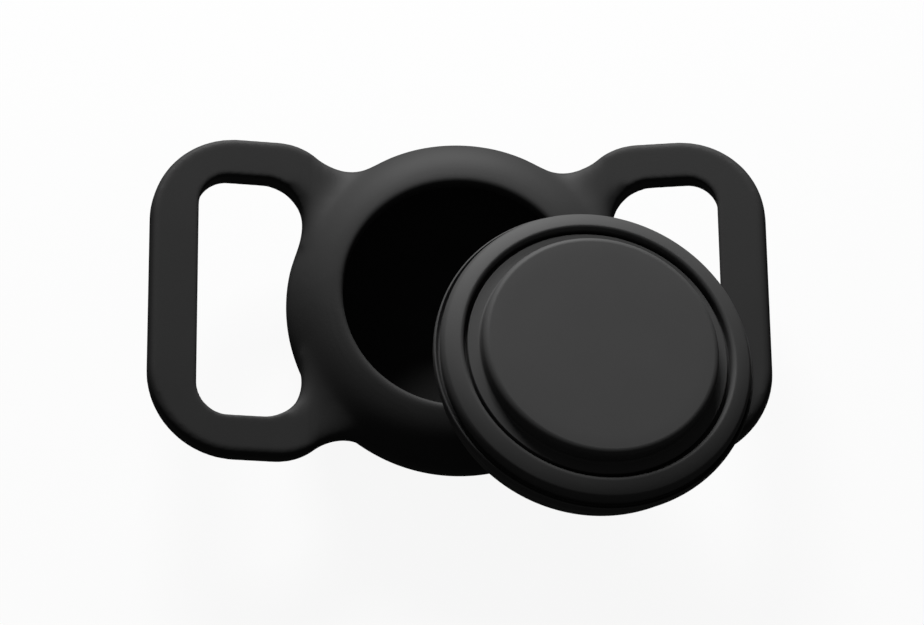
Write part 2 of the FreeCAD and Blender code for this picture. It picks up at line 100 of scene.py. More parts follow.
def draw_outline(bm, corners, plane):
    """Draws corners (x, y) or (x, y, bow) as one face. Returns the corners' vertices."""
    lift = (lambda p: (p.x, 0.0, p.y)) if plane == UPRIGHT else (lambda p: (p.x, p.y, 0.0))
    axis = (0.0, -1.0, 0.0) if plane == UPRIGHT else (0.0, 0.0, 1.0)
    places = [Vector(corner[:2]) for corner in corners]
    starts = [bm.verts.new(lift(place)) for place in places]
    for number, corner in enumerate(corners):
        following = (number + 1) % len(corners)
        if len(corner) == 2:
            bm.edges.new((starts[number], starts[following]))
            continue
        middle, angle = arc_of(places[number], places[following], corner[2])
        steps = max(2, round(abs(angle) / ARC_STEP))
        row = bmesh.ops.spin(bm, geom=[starts[number]], cent=lift(middle), axis=axis, angle=angle, steps=steps)
        last = next(item for item in row["geom_last"] if isinstance(item, bmesh.types.BMVert))
        bmesh.ops.pointmerge(bm, verts=[starts[following], last], merge_co=starts[following].co)
    bmesh.ops.contextual_create(bm, geom=bm.edges[:])
    return starts


trial = bmesh.new()
draw_outline(trial, [(0, 0), (2, 0, 1.0), (2, 2), (0, 2)], LEVEL)
print("trial outline:", len(trial.verts), "vertices,", len(trial.faces), "face")
trial.free()

# %% [markdown]
# ## Turning outlines, and finishing a piece
# A moulded shell is a turned shape, and spinning its outline about the axis makes it in one step. Moulded edges are
# never sharp, so the outline's corners are rounded before it is spun, which is easier than bevelling long circles
# afterwards. Long straight runs are divided, so that the light moves evenly over flat faces. A finished piece gets
# its place in its mesh, smooth shading with normals that follow the large faces, its finish and the body that it
# moves with, and the solid that it stands for is hidden.

# %% Turned shapes and finished pieces
TURN_STEPS = 180
ROUND_SEGMENTS = 4
LONGEST_RUN = 1.5
SHARP_ANGLE = math.radians(40.0)
made_pieces = []


def turn_outline(bm, corners, rounds):
    """Spins an upright outline about Z. rounds gives the rounding of corners by their number, in millimetres."""
    starts = draw_outline(bm, corners, UPRIGHT)
    for number, radius in rounds.items():
        bmesh.ops.bevel(bm, geom=[starts[number]], affect="VERTICES", offset=radius, segments=ROUND_SEGMENTS,
                        profile=0.5, material=-1)
    bmesh.ops.delete(bm, geom=bm.faces[:], context="FACES_ONLY")
    on_axis = [edge for edge in bm.edges if all(abs(vert.co.x) < SAME_PLACE for vert in edge.verts)]
    bmesh.ops.delete(bm, geom=on_axis, context="EDGES")
    for edge in [edge for edge in bm.edges if edge.calc_length() > LONGEST_RUN]:
        bmesh.ops.subdivide_edges(bm, edges=[edge], cuts=int(edge.calc_length() / LONGEST_RUN))
    bmesh.ops.spin(bm, geom=bm.verts[:] + bm.edges[:], cent=(0, 0, 0), axis=(0, 0, 1), angle=2 * math.pi,
                   steps=TURN_STEPS, use_merge=True)
    bmesh.ops.remove_doubles(bm, verts=bm.verts[:], dist=SAME_PLACE)
    bmesh.ops.recalc_face_normals(bm, faces=bm.faces[:])


def finish_piece(bm, name, node, place, finish):
    """Makes the mesh an object that stands for the solid, with its finish, and rides on the solid's body."""
    bmesh.ops.transform(bm, matrix=place, verts=bm.verts[:])
    mesh = bpy.data.meshes.new(name)
    bm.to_mesh(mesh)
    bm.free()
    piece = bpy.data.objects.new(name, mesh)
    bpy.context.scene.collection.objects.link(piece)
    mesh.polygons.foreach_set("use_smooth", [True] * len(mesh.polygons))
    mesh.set_sharp_from_angle(angle=SHARP_ANGLE)
    normals = piece.modifiers.new("large_faces_lead", "WEIGHTED_NORMAL")
    normals.keep_sharp = True
    mesh.materials.append(finish)
    body = next(body for body, nodes in frame["record"]["behaviour"]["bodies"].items() if node in nodes)
    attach(piece, body)
    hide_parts(node)
    made_pieces.append(piece)
    print(f"{name}: {len(mesh.polygons)} faces, rides on {body}")


print("a turned piece has", TURN_STEPS, "steps around")

# %% [markdown]
# ## Adding shader nodes
# A finish is a small tree of nodes. One function adds a node, sets what it is told and links what it is given, so
# that each finish below reads as a list. Colours are written as sRGB hex values, the way a colour card gives them,
# and turned into the linear values that a renderer needs.

# %% Colours and nodes


def linear(hex_colour):
    """Linear red, green, blue and alpha of an sRGB hex value."""
    parts = [int(hex_colour[start:start + 2], 16) / 255 for start in (1, 3, 5)]
    return [part / 12.92 if part <= 0.04045 else ((part + 0.055) / 1.055) ** 2.4 for part in parts] + [1.0]


def add(tree, kind, inputs=None, **settings):
    """Adds a node, sets its properties, and sets or links its inputs."""
    node = tree.nodes.new(kind)
    for name, value in settings.items():
        setattr(node, name, value)
    for socket, value in (inputs or {}).items():
        if isinstance(value, bpy.types.NodeSocket):
            tree.links.new(value, node.inputs[socket])
        else:
            node.inputs[socket].default_value = value
    return node


def new_finish(name):
    """An empty material with its output. Returns the material, its tree and the output's surface socket."""
    finish = bpy.data.materials.new(name)
    finish.use_nodes = True
    finish.node_tree.nodes.clear()
    output = finish.node_tree.nodes.new("ShaderNodeOutputMaterial")
    return finish, finish.node_tree, output.inputs["Surface"]


print("mid grey in linear light:", round(linear("#808080")[0], 3))

# %% [markdown]
# ## Moulded silicone
# Silicone rubber from an eroded mould is matt and slightly soft to the eye: most light scatters back, and only a
# broad dull gloss shows where it is seen at a grazing angle. Its grain is about a tenth of a millimetre, which is
# finer than a pixel here, so it is drawn at 0.25 mm. A second, wider cloud varies the gloss a little, as handling
# does. Both are noise on Object coordinates, so they stay put on the piece.

# %% Finish of the holder
SILICONE_COLOUR = "#2D2D2D"
SILICONE_WORN_COLOUR = "#323232"
SILICONE_GRAIN_MM = 0.25
SILICONE_RELIEF_MM = 0.05
SILICONE_ROUGHNESS = (0.56, 0.68)
HANDLING_MM = 9.0


def per_metre(size_mm):
    """Scale of a noise whose features have this size."""
    return 1 / (size_mm * MM)


silicone, tree, surface = new_finish("moulded_silicone")
place = add(tree, "ShaderNodeTexCoord")
grain = add(tree, "ShaderNodeTexNoise", {"Vector": place.outputs["Object"], "Scale": per_metre(SILICONE_GRAIN_MM),
                                         "Detail": 2.0, "Roughness": 0.6})
handling = add(tree, "ShaderNodeTexNoise", {"Vector": place.outputs["Object"], "Scale": per_metre(HANDLING_MM),
                                            "Detail": 3.0, "Roughness": 0.55})
tint = add(tree, "ShaderNodeMix", {"Factor": handling.outputs["Fac"], "A": linear(SILICONE_COLOUR),
                                   "B": linear(SILICONE_WORN_COLOUR)}, data_type="RGBA")
gloss = add(tree, "ShaderNodeMapRange", {"Value": handling.outputs["Fac"], "To Min": SILICONE_ROUGHNESS[0],
                                         "To Max": SILICONE_ROUGHNESS[1]})
relief = add(tree, "ShaderNodeBump", {"Height": grain.outputs["Fac"], "Strength": 0.12,
                                      "Distance": SILICONE_RELIEF_MM * MM})
shader = add(tree, "ShaderNodeBsdfPrincipled", {"Base Color": tint.outputs["Result"],
                                                "Roughness": gloss.outputs["Result"], "IOR": 1.41,
                                                "Specular IOR Level": 0.15, "Normal": relief.outputs["Normal"]})
tree.links.new(shader.outputs["BSDF"], surface)
print("finish:", silicone.name)

# %% [markdown]
# ## The holder
# The real holder comes out of one mould, so the cup and the loops run into each other without a seam. It could be
# built as one cage and subdivided, but the cup is round and the loops are not, and such a cage pinches where they
# meet. Here the cup is turned with its pocket and lip, the loops are cut as flat outlines, and a voxel remesh melts
# the three into one skin. The skin is then relaxed only where the cup and a loop meet, which leaves the wide soft
# fillet of the moulding and keeps every other edge.

# %% Cup of the holder
CUP_OUTLINE = [
    (0.0, 0.0), (14.25, 0.0, 1.5), (15.25, 0.38, 11.0), (18.94, 8.48, 3.7), (18.36, 10.58, 7.0), (13.25, 13.7, 0.5),
    (12.75, 13.2), (12.75, 11.95), (14.1, 11.95), (14.1, 12.45), (14.65, 12.45, -3.6), (17.35, 10.7), (17.35, 8.9),
    (16.85, 7.7, -7.6), (9.6, 1.2), (0.0, 1.2),
]
CUP_ROUNDS = {7: 0.2, 8: 0.2, 9: 0.2}

cup = bmesh.new()
turn_outline(cup, CUP_OUTLINE, CUP_ROUNDS)
cup_skin = BVHTree.FromBMesh(cup)
print("cup:", len(cup.faces), "faces, volume in mm3:", round(cup.calc_volume()))

# %% [markdown]
# A loop is a broad C whose ends are sunk in the cup's wall. Its outline follows the strap slot on the inside, and on
# the outside it swings in to a waist before it meets the cup. The outline is pulled up to the loop's thickness, its
# edges are rounded where they stand clear of the cup, less around the slot than outside, and it is tipped, because
# the loops rise towards their ends. The other loop is the same shape turned round.

# %% Loops of the holder
LOOP_OUTLINE = [
    (9.68, -16.24, -5.8), (15.98, -16.76, 7.0), (20.3, -18.25), (24.7, -18.25, 9.6), (34.3, -8.65),
    (34.3, 8.65, 9.6), (24.7, 18.25), (20.3, 18.25, 7.0), (15.98, 16.76, -5.8), (9.68, 16.24),
    (9.16, 15.38, -17.9), (16.92, 5.84), (17.92, 6.18, -9.43), (17.4, 9.25, -4.5), (21.9, 13.75),
    (25.6, 13.75, -3.5), (29.1, 10.25), (29.1, -10.25, -3.5), (25.6, -13.75), (21.9, -13.75, -4.5),
    (17.4, -9.25, -9.43), (17.92, -6.18), (16.92, -5.84, -17.9), (9.16, -15.38),
]
LOOP_THICKNESS = 2.8
LOOP_EDGE = 0.7
SLOT_EDGE = 0.25
SLOT_REACH = (29.2, 13.8)
SUNK_REACH = 19.0
LOOP_LEVEL = 7.1
LOOP_SLOPE = math.radians(10.0)

loops = bmesh.new()
draw_outline(loops, LOOP_OUTLINE, LEVEL)
pulled = bmesh.ops.extrude_face_region(loops, geom=loops.faces[:])
raised = [item for item in pulled["geom"] if isinstance(item, bmesh.types.BMVert)]
bmesh.ops.translate(loops, vec=(0, 0, LOOP_THICKNESS), verts=raised)
bmesh.ops.recalc_face_normals(loops, faces=loops.faces[:])
rims = [edge for edge in loops.edges if abs(edge.verts[0].co.z - edge.verts[1].co.z) < SAME_PLACE
        and min(vert.co.xy.length for vert in edge.verts) > SUNK_REACH]
slot_rims = [edge for edge in rims if all(vert.co.x < SLOT_REACH[0] and abs(vert.co.y) < SLOT_REACH[1]
                                          for vert in edge.verts)]
outer_rims = [edge for edge in rims if edge not in slot_rims]
for edges, rounding in ((outer_rims, LOOP_EDGE), (slot_rims, SLOT_EDGE)):
    bmesh.ops.bevel(loops, geom=edges, affect="EDGES", offset=rounding, segments=ROUND_SEGMENTS, profile=0.5,
                    material=-1)
tipped = Matrix.Translation((0, 0, LOOP_LEVEL)) @ Matrix.Rotation(-LOOP_SLOPE, 4, "Y")
bmesh.ops.transform(loops, matrix=tipped @ Matrix.Translation((0, 0, -LOOP_THICKNESS / 2)), verts=loops.verts[:])
other = bmesh.ops.duplicate(loops, geom=loops.verts[:] + loops.edges[:] + loops.faces[:])
other_verts = [item for item in other["geom"] if isinstance(item, bmesh.types.BMVert)]
bmesh.ops.rotate(loops, cent=(0, 0, 0), matrix=Matrix.Rotation(math.pi, 3, "Z"), verts=other_verts)
loop_skin = BVHTree.FromBMesh(loops)
print("loops:", len(loops.faces), "faces, volume in mm3:", round(loops.calc_volume()))

# %% [markdown]
# The remesh rebuilds cup and loops from cubes of 0.2 mm, fine enough for the lip's small rounding, and a few rounds
# of smoothing take out the steps that the cubes leave. Both are modifiers on a draft object, and a small function
# replaces the draft's mesh by what they make of it.

# %% One skin
VOXEL = 0.2
SMOOTH_FACTOR = 0.5
EVEN_ROUNDS = 8


def applied(piece):
    """Replaces the object's mesh by what its modifiers make of it."""
    made = bpy.data.meshes.new_from_object(piece.evaluated_get(bpy.context.evaluated_depsgraph_get()))
    piece.modifiers.clear()
    old = piece.data
    piece.data = made
    bpy.data.meshes.remove(old)


parts_mesh = bpy.data.meshes.new("holder_parts")
loop_copy = bpy.data.meshes.new("loop_copy")
loops.to_mesh(loop_copy)
cup.from_mesh(loop_copy)
cup.to_mesh(parts_mesh)
cup.free()
loops.free()
bpy.data.meshes.remove(loop_copy)
draft = bpy.data.objects.new("holder_draft", parts_mesh)
bpy.context.scene.collection.objects.link(draft)
remesh = draft.modifiers.new("melt", "REMESH")
remesh.mode = "VOXEL"
remesh.voxel_size = VOXEL
remesh.use_smooth_shade = True
even = draft.modifiers.new("even_out", "SMOOTH")
even.factor = SMOOTH_FACTOR
even.iterations = EVEN_ROUNDS
applied(draft)
print("skin:", len(draft.data.polygons), "faces")

# %% [markdown]
# How far a vertex lies from the cup and from the loops tells where the two meet: there both distances are small.
# Those vertices get two weights, one for the seam itself and one that reaches further. The pocket's walls lie within
# its radius and face the axis, and are left out.

# %% Where cup and loops meet
FILLET_REACH = 2.4
SHOULDER_REACH = 5.0
POCKET_RADIUS = 17.6

fillet = draft.vertex_groups.new(name="fillet")
shoulder = draft.vertex_groups.new(name="shoulder")
weighted = 0
for vertex in draft.data.vertices:
    if vertex.co.xy.length < POCKET_RADIUS and vertex.normal.xy.dot(vertex.co.xy) < 0:
        continue
    to_loop = loop_skin.find_nearest(vertex.co, SHOULDER_REACH)[3]
    to_cup = cup_skin.find_nearest(vertex.co, SHOULDER_REACH)[3]
    if to_loop is None or to_cup is None:
        continue
    far = max(to_loop, to_cup)
    shoulder.add([vertex.index], 1 - far / SHOULDER_REACH, "REPLACE")
    fillet.add([vertex.index], max(0.0, 1 - far / FILLET_REACH), "REPLACE")
    weighted += 1
print("fillets:", weighted, "vertices")

# %% [markdown]
# Two more Smooth modifiers use the weights. One softens the seam. The other moves heights only, so the cup flows
# into the loops and the outline seen from above stays. The skin then has more faces than it needs, and is thinned.

# %% Soft fillets
FILLET_ROUNDS = 120
SHOULDER_ROUNDS = 400
SKIN_TRIANGLES = 180000

for name, group, rounds, sideways in (
    ("relax", fillet, FILLET_ROUNDS, True),
    ("relax_height", shoulder, SHOULDER_ROUNDS, False),
):
    relax = draft.modifiers.new(name, "SMOOTH")
    relax.vertex_group = group.name
    relax.factor = SMOOTH_FACTOR
    relax.iterations = rounds
    relax.use_x = relax.use_y = sideways
triangles = 2 * len(draft.data.polygons)
thin = draft.modifiers.new("thin", "DECIMATE")
thin.ratio = min(1.0, SKIN_TRIANGLES / triangles)
applied(draft)
skin = bmesh.new()
skin.from_mesh(draft.data)
bpy.data.objects.remove(draft)
print("thinned from", triangles, "triangles")
finish_piece(skin, "holder_moulding", "holder", HOLDER_FRAME, silicone)

# %% [markdown]
# ## Matt moulded plastic
# The capsule's shells are hard plastic, ABS or polycarbonate, from a mould with a fine spark-eroded face. Against
# the silicone they are a shade lighter and as dull, so only the rounded edges draw thin bright lines. The eroded
# grain is about 0.1 mm; it is drawn at 0.18 mm to show at all.

# %% Finish of the capsule's shells
SHELL_COLOUR = "#414141"
SHELL_RUBBED_COLOUR = "#464646"
SHELL_GRAIN_MM = 0.18
SHELL_RELIEF_MM = 0.04
SHELL_ROUGHNESS = (0.54, 0.64)

shell_plastic, tree, surface = new_finish("eroded_plastic")
place = add(tree, "ShaderNodeTexCoord")
grain = add(tree, "ShaderNodeTexNoise", {"Vector": place.outputs["Object"], "Scale": per_metre(SHELL_GRAIN_MM),
                                         "Detail": 2.0, "Roughness": 0.65})
handling = add(tree, "ShaderNodeTexNoise", {"Vector": place.outputs["Object"], "Scale": per_metre(HANDLING_MM),
                                            "Detail": 3.0, "Roughness": 0.5})
tint = add(tree, "ShaderNodeMix", {"Factor": handling.outputs["Fac"], "A": linear(SHELL_COLOUR),
                                   "B": linear(SHELL_RUBBED_COLOUR)}, data_type="RGBA")
gloss = add(tree, "ShaderNodeMapRange", {"Value": handling.outputs["Fac"], "To Min": SHELL_ROUGHNESS[0],
                                         "To Max": SHELL_ROUGHNESS[1]})
relief = add(tree, "ShaderNodeBump", {"Height": grain.outputs["Fac"], "Strength": 0.1,
                                      "Distance": SHELL_RELIEF_MM * MM})
shader = add(tree, "ShaderNodeBsdfPrincipled", {"Base Color": tint.outputs["Result"],
                                                "Roughness": gloss.outputs["Result"], "IOR": 1.53,
                                                "Specular IOR Level": 0.1, "Normal": relief.outputs["Normal"]})
tree.links.new(shader.outputs["BSDF"], surface)
print("finish:", shell_plastic.name)

# %% [markdown]
# ## The capsule's shells
# The cap is a stepped disc: a flat raised middle, a channel around it with a narrow groove at its outer edge, and a
# shoulder ring that rolls over to the side. The base is a shallow cup with a rim slightly wider than the ring. The
# rim's inner edge falls away towards the seam, so a dark line runs all round where the two meet. Each is turned from
# its own section, walls and spigot included, because the cap comes off.

# %% Cap and base
CAP_OUTLINE = [
    (0.0, 4.0), (11.7, 4.0), (11.7, 1.5), (15.25, 1.5), (15.25, 0.6), (15.95, 0.6), (15.95, 1.5), (16.65, 1.5),
    (16.65, 1.8, 1.4), (16.3, 2.7, 6.4), (14.75, 3.32, 0.45), (14.35, 2.9), (14.35, 1.9), (13.9, 1.9), (13.9, 2.8),
    (12.6, 2.8), (12.6, 4.9), (0.0, 4.9),
]
CAP_ROUNDS = {1: 0.4, 2: 0.2, 3: 0.3, 4: 0.12, 5: 0.12, 7: 0.12, 14: 0.1, 15: 0.25, 16: 0.7}
BASE_OUTLINE = [
    (0.0, -7.5), (9.6, -7.5, 7.4), (16.65, -1.2), (17.15, 0.0), (17.15, 1.1), (16.95, 1.1), (16.66, 0.6),
    (16.45, 0.6), (16.45, 1.1), (16.05, 1.1), (16.05, -2.2, -3.7), (13.5, -5.6, -85.1), (0.0, -6.7),
]
BASE_ROUNDS = {3: 0.4, 4: 0.15, 5: 0.1, 6: 0.08, 7: 0.08, 9: 0.12}

for name, node, outline, rounds in (
    ("capsule_cap_shell", "capsule_cap", CAP_OUTLINE, CAP_ROUNDS),
    ("capsule_base_shell", "capsule_base", BASE_OUTLINE, BASE_ROUNDS),
):
    shell = bmesh.new()
    turn_outline(shell, outline, rounds)
    finish_piece(shell, name, node, CAPSULE_FRAME, shell_plastic)

# %% [markdown]
# ## Rubber seals
# Two flat rings keep water out: one between the capsule's shells, set back a little so that the seam reads as a
# dark line, and one under the tag's cover. Moulded rubber of this kind is dull black with a faint bloom.

# %% Seals
RUBBER_COLOUR = "#1B1B1C"
RUBBER_BLOOM_COLOUR = "#232324"
BLOOM_MM = 1.2
BLOOM_RELIEF_MM = 0.05
SEALS = {
    "capsule_seal_ring": ("capsule_seal", 16.0, 16.4, 1.1, 1.5),
    "cover_gasket_ring": ("cover_gasket", 11.9, 12.6, 0.5, 0.9),
}
SEAL_EDGE = 0.1

rubber, tree, surface = new_finish("seal_rubber")
place = add(tree, "ShaderNodeTexCoord")
bloom = add(tree, "ShaderNodeTexNoise", {"Vector": place.outputs["Object"], "Scale": per_metre(BLOOM_MM),
                                         "Detail": 4.0})
tint = add(tree, "ShaderNodeMix", {"Factor": bloom.outputs["Fac"], "A": linear(RUBBER_COLOUR),
                                   "B": linear(RUBBER_BLOOM_COLOUR)}, data_type="RGBA")
relief = add(tree, "ShaderNodeBump", {"Height": bloom.outputs["Fac"], "Strength": 0.08,
                                      "Distance": BLOOM_RELIEF_MM * MM})
shader = add(tree, "ShaderNodeBsdfPrincipled", {"Base Color": tint.outputs["Result"], "Roughness": 0.7, "IOR": 1.5,
                                                "Normal": relief.outputs["Normal"]})
tree.links.new(shader.outputs["BSDF"], surface)

for name, (node, inner, outer, low, high) in SEALS.items():
    section = [(inner, low), (outer, low), (outer, high), (inner, high)]
    ring = bmesh.new()
    turn_outline(ring, section, dict.fromkeys(range(len(section)), SEAL_EDGE))
    finish_piece(ring, name, node, CAPSULE_FRAME, rubber)

# %% [markdown]
# ## The tag
# The tag is a white disc with a domed underside and a rolled shoulder. Its plastic is polished: a clear gloss over
# a faintly warm white. The moulding flows a little unevenly, so the gloss has a very weak wide ripple.

# %% Tag's shell
TAG_WHITE = "#EDEDEA"
TAG_WHITE_DEEP = "#E6E6E2"
RIPPLE_MM = 6.0
RIPPLE_RELIEF_MM = 0.1
TAG_OUTLINE = [
    (0.0, -6.6, 85.0), (13.4, -5.5, 3.6), (15.95, -2.2, 6.0), (13.1, 0.9), (12.7, 0.9), (12.7, 0.5), (11.7, 0.5),
    (11.7, -0.3), (12.7, -0.3), (14.15, -1.2), (14.15, -2.2), (13.4, -3.7), (12.5, -4.78, -84.1), (0.0, -5.7),
]
TAG_ROUNDS = {4: 0.12, 5: 0.1, 6: 0.1, 7: 0.1}

tag_plastic, tree, surface = new_finish("polished_white_abs")
place = add(tree, "ShaderNodeTexCoord")
ripple = add(tree, "ShaderNodeTexNoise", {"Vector": place.outputs["Object"], "Scale": per_metre(RIPPLE_MM),
                                          "Detail": 1.0})
tint = add(tree, "ShaderNodeMix", {"Factor": ripple.outputs["Fac"], "A": linear(TAG_WHITE),
                                   "B": linear(TAG_WHITE_DEEP)}, data_type="RGBA")
relief = add(tree, "ShaderNodeBump", {"Height": ripple.outputs["Fac"], "Strength": 0.03,
                                      "Distance": RIPPLE_RELIEF_MM * MM})
shader = add(tree, "ShaderNodeBsdfPrincipled", {"Base Color": tint.outputs["Result"], "Roughness": 0.16, "IOR": 1.54,
                                                "Normal": relief.outputs["Normal"]})
tree.links.new(shader.outputs["BSDF"], surface)

shell = bmesh.new()
turn_outline(shell, TAG_OUTLINE, TAG_ROUNDS)
finish_piece(shell, "tag_shell_body", "tag_shell", CAPSULE_FRAME, tag_plastic)

# %% [markdown]
# ## The steel cover
# The battery cover is a pressed disc of stainless steel with three hooks that turn under a ledge. It was finished
# on a turntable, so its scratches run in circles. They are about 0.04 mm apart; here they are drawn at 0.12 mm, and
# the roughness is that of a satin finish, which shows as metal without much to mirror. The pattern takes the
# distance from the axis, which a Mapping node first centres and stands upright.

# %% Finish of the cover
STEEL_COLOUR = "#C9C9C8"
STEEL_DARK_COLOUR = "#B4B4B3"
SCRATCH_MM = 0.12
SCRATCH_RELIEF_MM = 0.02
STEEL_ROUGHNESS = (0.58, 0.72)

steel, tree, surface = new_finish("turned_stainless_steel")
place = add(tree, "ShaderNodeTexCoord")
upright = add(tree, "ShaderNodeMapping", {"Vector": place.outputs["Object"], "Location": cover_hinge["pos_m"],
                                          "Rotation": capsule_turn.to_euler()}, vector_type="TEXTURE")
parts = add(tree, "ShaderNodeSeparateXYZ", {"Vector": upright.outputs["Vector"]})
level = add(tree, "ShaderNodeCombineXYZ", {"X": parts.outputs["X"], "Y": parts.outputs["Y"]})
reach = add(tree, "ShaderNodeVectorMath", {0: level.outputs["Vector"]}, operation="LENGTH")
scratches = add(tree, "ShaderNodeTexNoise", {"W": reach.outputs["Value"], "Scale": per_metre(SCRATCH_MM),
                                             "Detail": 3.0, "Roughness": 0.7}, noise_dimensions="1D")
tint = add(tree, "ShaderNodeMix", {"Factor": scratches.outputs["Fac"], "A": linear(STEEL_COLOUR),
                                   "B": linear(STEEL_DARK_COLOUR)}, data_type="RGBA")
gloss = add(tree, "ShaderNodeMapRange", {"Value": scratches.outputs["Fac"], "To Min": STEEL_ROUGHNESS[0],
                                         "To Max": STEEL_ROUGHNESS[1]})
relief = add(tree, "ShaderNodeBump", {"Height": scratches.outputs["Fac"], "Strength": 0.06,
                                      "Distance": SCRATCH_RELIEF_MM * MM})
shader = add(tree, "ShaderNodeBsdfPrincipled", {"Base Color": tint.outputs["Result"], "Metallic": 1.0,
                                                "Roughness": gloss.outputs["Result"],
                                                "Normal": relief.outputs["Normal"]})
tree.links.new(shader.outputs["BSDF"], surface)
print("finish:", steel.name)

# %% [markdown]
# The disc is turned like the shells. A hook is a leg and a toe, two rounded blocks that overlap, and the three hooks
# stand evenly around the disc. The cover is drawn with its hooks at zero and turned as far as it is when locked.

# %% Cover of the tag
COVER_OUTLINE = [(0.0, 0.9), (12.6, 0.9), (12.6, 1.4), (0.0, 1.4)]
COVER_ROUNDS = {1: 0.1, 2: 0.22}
HOOK_COUNT = 3
HOOK_WIDTH = 3.0
HOOK_LEG = ((10.95, -0.8), (11.55, 0.95))
HOOK_TOE = ((11.5, -0.8), (12.35, -0.45))
HOOK_EDGE = 0.08
HOOK_SEGMENTS = 2
LOCKED_TURN = math.radians(20.0)

cover = bmesh.new()
turn_outline(cover, COVER_OUTLINE, COVER_ROUNDS)
for number in range(HOOK_COUNT):
    turned = Matrix.Rotation(2 * math.pi * number / HOOK_COUNT, 4, "Z")
    for (inner, low), (outer, high) in (HOOK_LEG, HOOK_TOE):
        middle = Matrix.Translation(((inner + outer) / 2, 0, (low + high) / 2))
        stretch = Matrix.Diagonal((outer - inner, HOOK_WIDTH, high - low, 1.0))
        block = bmesh.ops.create_cube(cover, size=1.0, matrix=turned @ middle @ stretch)
        edges = {edge for vert in block["verts"] for edge in vert.link_edges}
        bmesh.ops.bevel(cover, geom=list(edges), affect="EDGES", offset=HOOK_EDGE, segments=HOOK_SEGMENTS,
                        profile=0.5, material=-1)
finish_piece(cover, "tag_cover_disc", "tag_cover", CAPSULE_FRAME @ Matrix.Rotation(LOCKED_TURN, 4, "Z"), steel)

# %% [markdown]
# ## Inside the tag
# The cell, its tray and contacts, the board and the speaker stay closed in the tag in every pose. Their solids have
# the right shapes already, so they keep them and only get finishes: nickel-plated steel, dark plastic, plated
# spring strip, lacquered board, magnet and lacquered winding wire. They differ in a few numbers, so one loop makes
# them all: two tints, the size of the mottle between them, and how metallic and rough the surface is.

# %% Finishes of the inner pieces
INNER_FINISHES = {
    "coin_cell": ("nickel_plated_steel", "#C4C3BF", "#B3B2AE", 0.8, 1.0, 0.28),
    "battery_tray": ("dark_glass_filled_nylon", "#2B2B2D", "#343436", 0.3, 0.0, 0.55),
    "battery_contacts": ("plated_spring_brass", "#C9A45C", "#B8924C", 0.5, 1.0, 0.3),
    "circuit_board": ("lacquered_laminate", "#17452C", "#1D5436", 0.6, 0.0, 0.35),
    "speaker_magnet": ("nickel_plated_magnet", "#B9B9B7", "#A6A6A4", 0.7, 1.0, 0.25),
    "voice_coil": ("lacquered_copper_wire", "#9C5A34", "#B56C40", 0.15, 1.0, 0.35),
}
MOTTLE_RELIEF_MM = 0.03

for node, (name, light, dark, mottle_mm, metallic, roughness) in INNER_FINISHES.items():
    finish, tree, surface = new_finish(name)
    place = add(tree, "ShaderNodeTexCoord")
    mottle = add(tree, "ShaderNodeTexNoise", {"Vector": place.outputs["Object"], "Scale": per_metre(mottle_mm),
                                              "Detail": 3.0})
    tint = add(tree, "ShaderNodeMix", {"Factor": mottle.outputs["Fac"], "A": linear(light), "B": linear(dark)},
               data_type="RGBA")
    relief = add(tree, "ShaderNodeBump", {"Height": mottle.outputs["Fac"], "Strength": 0.05,
                                          "Distance": MOTTLE_RELIEF_MM * MM})
    shader = add(tree, "ShaderNodeBsdfPrincipled", {"Base Color": tint.outputs["Result"], "Metallic": metallic,
                                                    "Roughness": roughness, "Normal": relief.outputs["Normal"]})
    tree.links.new(shader.outputs["BSDF"], surface)
    solid = frame["nodes"][node]
    solid.data.materials.clear()
    solid.data.materials.append(finish)
    print("kept solid:", node, "in", name)

# %% [markdown]
# ## Floor, light and camera
# The picture's light comes from behind the object, so its upper edges shine and its lower sides go black. A window
# half-way up lights the flat faces, and a strip low behind draws the far edges. The strip stands close, so its
# light falls off across the object. The floor is pale only to the eye: it shows the camera a light grey, keeps a
# soft shadow, and sends little light back up, so the undersides stay dark. It lies a hair below the flat back, so
# that no two faces share a place.

# %% Floor
FLOOR_SIZE = 6.0
FLOOR_DROP_MM = 0.05
FLOOR_COLOUR = "#F8F8F8"
FLOOR_BOUNCE_COLOUR = "#303030"
GLOW_COLOUR = "#FFFFFF"
GLOW_TO_EYE = 0.92
GLOW_TO_GLOSS = 0.03

floor_finish, tree, surface = new_finish("pale_floor")
path = add(tree, "ShaderNodeLightPath")
to_eye = add(tree, "ShaderNodeMath", {0: path.outputs["Is Camera Ray"], 1: path.outputs["Is Transmission Ray"]},
             operation="MAXIMUM")
to_gloss = add(tree, "ShaderNodeMath", {0: path.outputs["Is Glossy Ray"], 1: GLOW_TO_GLOSS}, operation="MULTIPLY")
share = add(tree, "ShaderNodeMath", {0: to_eye.outputs["Value"], 1: GLOW_TO_EYE, 2: to_gloss.outputs["Value"]},
            operation="MULTIPLY_ADD")
glow = add(tree, "ShaderNodeEmission", {"Color": linear(GLOW_COLOUR), "Strength": 1.0})
tint = add(tree, "ShaderNodeMix", {"Factor": to_eye.outputs["Value"], "A": linear(FLOOR_BOUNCE_COLOUR),
                                   "B": linear(FLOOR_COLOUR)}, data_type="RGBA")
matt = add(tree, "ShaderNodeBsdfDiffuse", {"Color": tint.outputs["Result"]})
both = add(tree, "ShaderNodeMixShader", {"Fac": share.outputs["Value"], 1: matt.outputs["BSDF"],
                                         2: glow.outputs["Emission"]})
tree.links.new(both.outputs["Shader"], surface)

